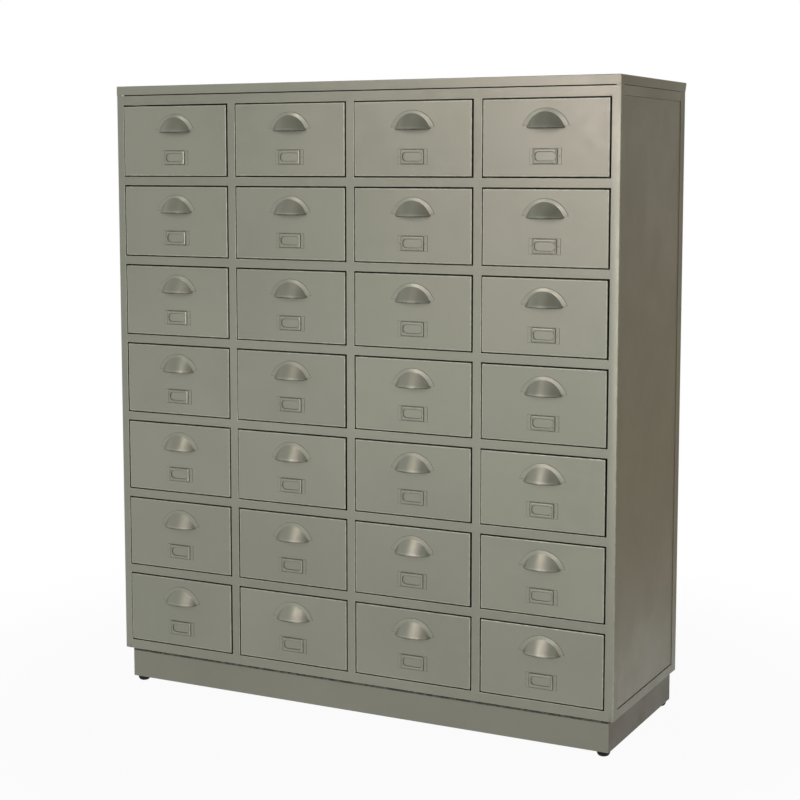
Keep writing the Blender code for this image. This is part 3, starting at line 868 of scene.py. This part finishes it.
def make_back():
    """Back sheet with round folds at both rear corners."""
    bends = ((0.0, BACK_FOLD_RADIUS), (SHEET, BACK_FOLD_RADIUS - SHEET))
    outline = []
    for side, order in ((-1, 1), (1, -1)):
        outer = []
        inner = []
        for step in range(CORNER_STEPS + 1):
            angle = math.pi / 2 * step / CORNER_STEPS
            turn = (1 - math.cos(angle), math.sin(angle))
            for (edge, radius), row in zip(bends, (outer, inner)):
                x = side * (HALF_WIDTH - edge - radius * turn[0])
                row.append((x, REAR - edge - radius + radius * turn[1]))
        outer.insert(0, (side * HALF_WIDTH, REAR - REAR_RETURN))
        inner.insert(0, (side * (HALF_WIDTH - SHEET), REAR - REAR_RETURN))
        outline.append((outer[::order], inner[::order]))
    outer = outline[0][0] + outline[1][0]
    inner = outline[0][1] + outline[1][1]
    loop = outer + inner[::-1]
    work = start_mesh()
    levels = (CARCASS_BOTTOM, CAP_BOTTOM - SEAT)
    grid = add_rows(work, [[(x, y, z) for x, y in loop] for z in levels], closed=True)
    for row in grid:
        for index in range(len(outer) - 1):
            work.faces.new((row[index], row[index + 1], row[-2 - index], row[-1 - index]))
    piece_from("back", mesh_from("back", work, [SIDE_PAINT]), "carcass", ["back_panel"])


def foot_profile(stud_top):
    """Radius and height of a foot, from the hollow in its tread to the end of its stud."""
    profile = [(FOOT_PAD_RADIUS * share, height) for share, height in FOOT_TREAD]
    shoulder = FOOT_HEIGHT - SEAT
    for step in range(1, FOOT_STEPS + 1):
        angle = math.pi / 2 * step / FOOT_STEPS
        radius = FOOT_PAD_RADIUS + (FOOT_RADIUS - FOOT_PAD_RADIUS) * math.sin(angle)
        profile.append((radius, shoulder * FOOT_BULGE_SHARE * (1 - math.cos(angle))))
    profile += [(FOOT_RADIUS, shoulder * FOOT_BAND_SHARE), (FOOT_RADIUS - FOOT_CHAMFER, shoulder)]
    profile += [(STUD_NECK_RADIUS, shoulder), (STUD_RADIUS, shoulder + STUD_NECK), (STUD_RADIUS, stud_top)]
    return profile


def make_feet():
    """Turned rubber feet with a hollowed tread and a stud."""
    for end in ("front", "rear"):
        for side in ("left", "right"):
            node = f"foot_{end}_{side}"
            low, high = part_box(node)
            centre = ((low.x + high.x) / 2, (low.y + high.y) / 2)
            work = start_mesh()
            add_lathe(work, foot_profile(high.z), centre)
            mesh = mesh_from("dressed_" + node, work, [FOOT_RUBBER])
            piece_from("dressed_" + node, mesh, "carcass", [node])


def arch_point(half_width, height, share):
    """X and Z on a circular arch over a base line, from its right end to its left end."""
    radius = (half_width ** 2 + height ** 2) / (2 * height)
    centre = height - radius
    start = math.atan2(-centre, half_width)
    angle = start + (math.pi - 2 * start) * share
    return radius * math.cos(angle), centre + radius * math.sin(angle)


def cup_point(inset, share, along, reach_along):
    """A point of the cup's skin, from the arch on the front (0) to the rim (1)."""
    height = PULL_HEIGHT - inset
    x, z = arch_point(PULL_HALF_WIDTH - inset, height, share)
    swell = max(z, 0.0) / height
    collar = (FLANGE_SHEET + FLANGE_LEAN - inset) * swell
    reach = collar + ((PULL_PROJECTION - inset) * swell - collar) * reach_along
    return Vector((x, -reach, PULL_RISE + z * (1 - along) - RIM_BOW * swell * along))


def cup_row(inset, along, reach_along):
    """One row of the cup's skin."""
    return [cup_point(inset, step / ARCH_STEPS, along, reach_along) for step in range(ARCH_STEPS + 1)]


def flange_row(out, y):
    """One row of the flange, from beside the cup (0) to the flange's edge (1)."""
    row = []
    low = PULL_RISE + FLANGE_LIFT
    half = PULL_HALF_WIDTH + PULL_FILLET - FLANGE_TUCK
    for step in range(ARCH_STEPS + 1):
        inner = arch_point(half, PULL_HEIGHT + PULL_FILLET - FLANGE_LIFT, step / ARCH_STEPS)
        outer = arch_point(FLANGE_HALF_WIDTH, FLANGE_HEIGHT, step / ARCH_STEPS)
        x, z = (a + (b - a) * out for a, b in zip(inner, outer))
        swell = (FLANGE_LIFT + inner[1]) / PULL_HEIGHT
        lean = FLANGE_LEAN * swell * max(1.0 - out, 0.0) ** FLANGE_LEAN_POWER
        row.append(Vector((x, y - lean, low + z)))
    return row


def add_cup(work):
    """Leaning half shell with a fillet round its arch and a rolled rim, open below."""
    flat = []
    bend = []
    for step in range(ARCH_STEPS + 1):
        share = step / ARCH_STEPS
        base = cup_point(0.0, share, 0.0, 0.0)
        lean = FLANGE_LEAN * (base.z - PULL_RISE) / PULL_HEIGHT
        bend.append(Vector((base.x, -FLANGE_SHEET - lean, base.z)))
        x, z = arch_point(PULL_HALF_WIDTH + PULL_FILLET, PULL_HEIGHT + PULL_FILLET, share)
        flat.append(Vector((x, -FLANGE_SHEET - FILLET_LEAN_SHARE * lean, PULL_RISE + z)))
    skin = cup_row(0.0, RIM_ALONG[0], RIM_REACH[0])
    fillet = []
    for step in range(FILLET_STEPS):
        t = step / FILLET_STEPS
        row = zip(flat, bend, skin)
        fillet.append([a * (1 - t) ** 2 + b * 2 * t * (1 - t) + c * t ** 2 for a, b, c in row])
    outside = [cup_row(0.0, along, reach) for along, reach in zip(RIM_ALONG, RIM_REACH)]
    inside = [cup_row(PULL_SHEET, along, reach) for along, reach in zip(RIM_ALONG[::-1], RIM_REACH[::-1])]
    inside.append(cup_row(PULL_SHEET, 0.0, 0.0))
    below = Vector((0, 0, -RIM_DROP_SHARE * PULL_SHEET))
    lip = [(a + b) / 2 + below for a, b in zip(outside[-1], inside[0])]
    foot = [Vector((point.x, 0.0, point.z)) for point in flat]
    grid = add_rows(work, [foot] + fillet + outside + [lip] + inside)
    # Painted shade along the rolled rim, and a painted highlight on the row above it
    rim = len(grid) - len(inside) - 1
    mark(work, "painted_shade", grid[rim - 1] + grid[rim] + grid[rim + 1], RIM_SHADE)
    mark(work, "wear_and_highlight", grid[rim - 2], RIM_HIGHLIGHT)
    for end in (0, -1):
        work.faces.new([row[end] for row in grid[:FILLET_STEPS + 2]])
    ends = [row[end] for row in grid[FILLET_STEPS + 1:] for end in (0, -1)]
    bmesh.ops.remove_doubles(work, verts=ends, dist=MERGE_DISTANCE)


def add_flange(work):
    """Flange round the cup's arch, with a painted highlight along its worn edge, an outline of painted
    shade, and closed ends with painted shade.
    """
    grid = add_rows(work, [flange_row(out, -FLANGE_SHEET * rise) for out, rise in FLANGE_PROFILE])
    # Painted highlight on the flange's worn edge; painted shade along its outline
    mark(work, "wear_and_highlight", grid[2], FLANGE_EDGE_HIGHLIGHT)
    mark(work, "painted_shade", grid[3] + grid[4], FLANGE_OUTLINE_SHADE)
    for end in (0, -1):
        corner = [row[end] for row in grid[:-1]]
        root = work.verts.new((corner[0].co.x, 0.0, corner[0].co.z))
        # Painted shade at the flange's ends
        mark(work, "painted_shade", corner[1:] + [root], FLANGE_END_SHADE)
        work.faces.new(corner + [root])


def holder_loop(width, height, radius, middle, y):
    """A round-cornered loop of points about the middle of the card holder."""
    loop = []
    for quarter, (right, up) in enumerate(((1, 1), (-1, 1), (-1, -1), (1, -1))):
        for step in range(CORNER_STEPS + 1):
            angle = math.pi / 2 * (quarter + step / CORNER_STEPS)
            x = right * (width / 2 - radius) + radius * math.cos(angle)
            z = up * (height / 2 - radius) + radius * math.sin(angle)
            loop.append((x, y, middle + z))
    return loop


def add_plate(work, middle):
    """Eared plate of the card holder, with a worn edge carrying a painted highlight, and painted shade
    round it.
    """
    rows = []
    for grow, rise in PLATE_PROFILE:
        size = (HOLDER_WIDTH + 2 * grow, HOLDER_HEIGHT + 2 * grow)
        rows.append(holder_loop(*size, PLATE_RADIUS, middle, -rise))
    grid = add_rows(work, rows, closed=True)
    work.faces.new(grid[-1])
    # Painted shade round the plate's foot, and a painted highlight on its worn edge
    mark(work, "painted_shade", grid[1], PLATE_EDGE_SHADE)
    mark(work, "wear_and_highlight", grid[2], PLATE_WEAR_HIGHLIGHT)


def add_pocket(work, middle):
    """Raised pocket of the card holder, with sloped sides and a rolled lip round its window."""
    face = -POCKET_RISE
    rows = []
    for grow, depth in LIP_PROFILE:
        size = (WINDOW_WIDTH + 2 * grow, WINDOW_HEIGHT + 2 * grow)
        rows.append(holder_loop(*size, WINDOW_RADIUS + grow, middle, face + depth))
    height = HOLDER_HEIGHT - POCKET_MARGIN
    for across, up, radius, depth in POCKET_PROFILE:
        size = (POCKET_WIDTH - 2 * across, height - 2 * up)
        rows.append(holder_loop(*size, radius, middle, face + depth))
    skirt = len(rows)
    for across, up in POCKET_SKIRT:
        size = (POCKET_WIDTH - 2 * across, height - 2 * up)
        rows.append(holder_loop(*size, POCKET_SKIRT_RADIUS, middle, -HOLDER_SHEET - PLATE_LIFT))
    grid = add_rows(work, rows, closed=True)
    # A painted highlight on the pocket's worn top edge; painted shade at its foot and round the window
    mark(work, "wear_and_highlight", grid[skirt - 2], POCKET_WEAR_HIGHLIGHT)
    mark(work, "painted_shade", grid[skirt] + grid[skirt + 1] + grid[0], POCKET_EDGE_SHADE)


def add_rivets(work, middle):
    """A low round rivet in each ear of the card holder."""
    for side in (-1, 1):
        x = side * (POCKET_WIDTH + HOLDER_WIDTH) / 4
        made = bmesh.ops.create_uvsphere(work, u_segments=RIVET_STEPS, v_segments=RIVET_RINGS, radius=1.0)
        size = (RIVET_RADIUS, RIVET_HEIGHT, RIVET_RADIUS)
        place_points(made["verts"], (x, -HOLDER_SHEET, middle), size)


def add_front(work):
    """Folded drawer front: a shallow pan with round folds and a hem along its top."""
    half = FRONT_WIDTH / 2
    tall = FRONT_HEIGHT / 2
    left = -half - FRONT_LEFTWARD + FRONT_TRIM
    low = -tall - FRONT_DOWNWARD + FRONT_TRIM
    right = left + FRONT_WIDTH - 2 * FRONT_TRIM
    made = raw_box(work, (left, 0.0, low), (right, FRONT_RETURN, low + FRONT_HEIGHT - 2 * FRONT_TRIM))
    faces = {face for point in made for face in point.link_faces}
    behind = [face for face in faces if all(point.co.y > SHEET for point in face.verts)]
    bmesh.ops.delete(work, geom=behind, context="FACES_ONLY")
    folds = {edge for point in made for edge in point.link_edges if not edge.is_boundary}
    round_edges(work, list(folds), FOLD_RADIUS, FOLD_STEPS)
    flat = max(work.faces, key=lambda face: face.calc_area())
    # A border round the face, marked for wear with a painted highlight
    bmesh.ops.inset_region(work, faces=[flat], thickness=WEAR_HIGHLIGHT_BORDER, use_even_offset=True)
    flat = max(work.faces, key=lambda face: face.calc_area())
    ahead = [point for point in work.verts if abs(point.co.y) < MERGE_DISTANCE]
    mark(work, "wear_and_highlight", [point for point in ahead if point not in flat.verts[:]], BORDER_WEAR_HIGHLIGHT)
    # The returns hidden in the gaps are painted dark as shade
    hidden = [point for point in work.verts if point.co.y > FOLD_RADIUS * BEHIND_ROUND]
    mark(work, "painted_shade", hidden, HIDDEN_SHADE)
    bmesh.ops.recalc_face_normals(work, faces=work.faces)
    bmesh.ops.solidify(work, geom=work.faces[:], thickness=SHEET)
    hem = (TRAY_WIDTH / 2 - 2 * SHEET, FRONT_RETURN, tall - FRONT_DOWNWARD - SEAT)
    add_box(work, (-hem[0], FRONT_RETURN - SHEET, tall - FRONT_HEM), hem, SHEET_EDGE_RADIUS)


def add_tray(work):
    """Tray behind the front: floor, sides with rolled top edges, back and stop tabs."""
    half = TRAY_WIDTH / 2
    bottom = -FRONT_HEIGHT / 2
    rim = FRONT_HEIGHT / 2 - TRAY_DROP
    start = FRONT_RETURN - SHEET
    roll = rim - HEM_BEAD
    roll_radius = HEM_BEAD * HEM_ROUND_SHARE
    add_box(work, (-half, start, bottom), (half, TRAY_DEPTH, bottom + SHEET), SHEET_EDGE_RADIUS)
    add_box(work, (-half, TRAY_DEPTH - SHEET, bottom), (half, TRAY_DEPTH, rim), SHEET_EDGE_RADIUS)
    add_box(work, (-half, TRAY_DEPTH - HEM_BEAD, roll), (half, TRAY_DEPTH, rim), roll_radius, HEM_STEPS)
    tab_start = TUBE + DRAWER_TRAVEL + STOP_PLAY
    tab_end = tab_start + STOP_TAB_LENGTH
    tab_top = FRONT_HEIGHT / 2 + DRAWER_GAP + STOP_TAB_LAP
    for side in (-1, 1):
        near, far = sorted((side * half, side * (half - SHEET)))
        bead_near, bead_far = sorted((side * half, side * (half - HEM_BEAD)))
        add_box(work, (near, start, bottom), (far, TRAY_DEPTH, rim), SHEET_EDGE_RADIUS)
        add_box(work, (bead_near, start, roll), (bead_far, TRAY_DEPTH, rim), roll_radius, HEM_STEPS)
        add_box(work, (near, tab_start, roll), (far, tab_end, tab_top), SHEET_EDGE_RADIUS)


def seat_shift(row, column):
    """How far a drawer sits off the middle of its opening, to the right and upward."""
    drawer = (row, column)
    across = SEAT_SHIFT * ((drawer in SITS_RIGHT) - (drawer in SITS_LEFT))
    return across, SEAT_SHIFT * (drawer in SITS_HIGH)


def make_drawers():
    """One detailed drawer, used in every opening."""
    work = start_mesh()
    add_front(work)
    add_tray(work)
    add_cup(work)
    add_flange(work)
    holder_middle = -HOLDER_DROP - HOLDER_HEIGHT / 2
    add_plate(work, holder_middle)
    add_pocket(work, holder_middle)
    add_rivets(work, holder_middle)
    mesh = mesh_from("drawer", work, [DRAWER_PAINT])
    for row in range(1, ROWS + 1):
        for column in range(1, COLUMNS + 1):
            node = f"drawer_r{row}c{column}"
            x = -HALF_WIDTH + TUBE + OPENING_WIDTH / 2 + (column - 1) * COLUMN_PITCH
            z = OPENINGS_TOP - OPENING_HEIGHT / 2 - (row - 1) * ROW_PITCH
            across, up = seat_shift(row, column)
            place = (x + across, FRONT, z + up)
            piece_from("dressed_" + node, mesh, node, [node], place)


def toward(tree, where, right, behind):
    """How far a place or direction lies toward a level bearing, given by its shares of X and Y."""
    axes = tree.nodes.new("ShaderNodeSeparateXYZ")
    tree.links.new(where, axes.inputs[0])
    across = maths(tree, "MULTIPLY", axes.outputs["X"], right)
    along = maths(tree, "MULTIPLY", axes.outputs["Y"], behind)
    return maths(tree, "ADD", across, along)


def pale_floor():
    """Floor that keeps a faint shadow, white to the camera, and dimmer on the right in reflections."""
    material, tree, shader = start_material("pale_floor")
    where = tree.nodes.new("ShaderNodeTexCoord").outputs["Object"]
    tone = mix_colours(tree, noise(tree, where, *FLOOR_NOISE), *FLOOR_TONES)
    tree.links.new(tone, shader.inputs["Base Color"])
    shader.inputs["Roughness"].default_value = FLOOR_ROUGHNESS
    shader.inputs["Specular IOR Level"].default_value = FLOOR_SPECULAR
    away = tree.nodes.new("ShaderNodeVectorMath")
    away.operation = "LENGTH"
    tree.links.new(where, away.inputs[0])
    path = tree.nodes.new("ShaderNodeLightPath")
    seen = maths(tree, "MAXIMUM", path.outputs["Is Camera Ray"], path.outputs["Is Glossy Ray"])
    seen = maths(tree, "MAXIMUM", seen, path.outputs["Is Transmission Ray"])
    white = spread(tree, away.outputs["Value"], *FLOOR_FADE, *FLOOR_WHITE)
    share = maths(tree, "MULTIPLY", seen, white)
    rightward = toward(tree, where, math.cos(DIM_FLOOR_TURN), math.sin(DIM_FLOOR_TURN))
    dim = spread(tree, rightward, DIM_FLOOR_STARTS, DIM_FLOOR_ENDS, 0.0, 1.0)
    dim = maths(tree, "MULTIPLY", dim, maths(tree, "LESS_THAN", path.outputs["Is Camera Ray"], 0.5))
    glow = add_node(tree, "ShaderNodeEmission", Strength=1.0)
    tree.links.new(mix_colours(tree, dim, WHITE, DIM_FLOOR), glow.inputs["Color"])
    blend = tree.nodes.new("ShaderNodeMixShader")
    tree.links.new(share, blend.inputs[0])
    tree.links.new(shader.outputs[0], blend.inputs[1])
    tree.links.new(glow.outputs[0], blend.inputs[2])
    tree.links.new(blend.outputs[0], tree.nodes["Material Output"].inputs["Surface"])
    return material


def make_floor():
    """The floor under the cabinet, which isn't part of it."""
    work = bmesh.new()
    bmesh.ops.create_grid(work, x_segments=FLOOR_STEPS, y_segments=FLOOR_STEPS, size=FLOOR_SIZE)
    mesh = bpy.data.meshes.new("floor")
    work.to_mesh(mesh)
    work.free()
    mesh.materials.append(pale_floor())
    floor = bpy.data.objects.new("floor", mesh)
    bpy.context.scene.collection.objects.link(floor)


def make_world():
    """Soft light from all round the horizon, dimmer on the right and little from above."""
    world = bpy.data.worlds.new("studio")
    bpy.context.scene.world = world
    world.use_nodes = True
    tree = world.node_tree
    where = tree.nodes.new("ShaderNodeTexCoord").outputs["Generated"]
    axes = tree.nodes.new("ShaderNodeSeparateXYZ")
    tree.links.new(where, axes.inputs[0])
    roof = spread(tree, axes.outputs["Z"], CEILING_STARTS, CEILING_ENDS, 0.0, 1.0)
    rightward = toward(tree, where, math.sin(DIM_BEARING), math.cos(DIM_BEARING))
    dim = spread(tree, rightward, DIM_STARTS, DIM_ENDS, 0.0, 1.0)
    sky = mix_colours(tree, dim, WHITE, DIM_COLOUR)
    sky = mix_colours(tree, roof, sky, (CEILING, CEILING, CEILING))
    path = tree.nodes.new("ShaderNodeLightPath")
    sky = mix_colours(tree, path.outputs["Is Camera Ray"], sky, WHITE)
    tree.links.new(sky, tree.nodes["Background"].inputs["Color"])


def make_lamps():
    """Softboxes ahead of the cabinet that show only in the gloss of its paint."""
    for name, place, size, power, colour in LAMPS:
        lamp = bpy.data.lights.new(name, "AREA")
        lamp.shape = "RECTANGLE"
        lamp.size, lamp.size_y = size
        lamp.energy = power
        lamp.color = colour
        box = bpy.data.objects.new(name, lamp)
        bpy.context.scene.collection.objects.link(box)
        box.location = place
        box.rotation_euler = (Vector(LAMP_TARGET) - Vector(place)).to_track_quat("-Z", "Y").to_euler()
        box.visible_camera = False
        box.visible_diffuse = False


def make_camera():
    """The scene's camera."""
    data = bpy.data.cameras.new("camera")
    data.lens = CAMERA_LENS
    data.sensor_width = CAMERA_SENSOR
    data.shift_y = CAMERA_SHIFT
    camera = bpy.data.objects.new("camera", data)
    bpy.context.scene.collection.objects.link(camera)
    camera.location = CAMERA_PLACE
    camera.rotation_euler = (math.pi / 2 + CAMERA_PITCH, 0.0, CAMERA_YAW)
    bpy.context.scene.camera = camera


make_face()
make_cap()
make_back()
make_feet()
make_sides()
make_base()
make_racks()
make_drawers()
make_floor()
make_world()
make_lamps()
make_camera()
bpy.context.scene.view_settings.view_transform = "Standard"
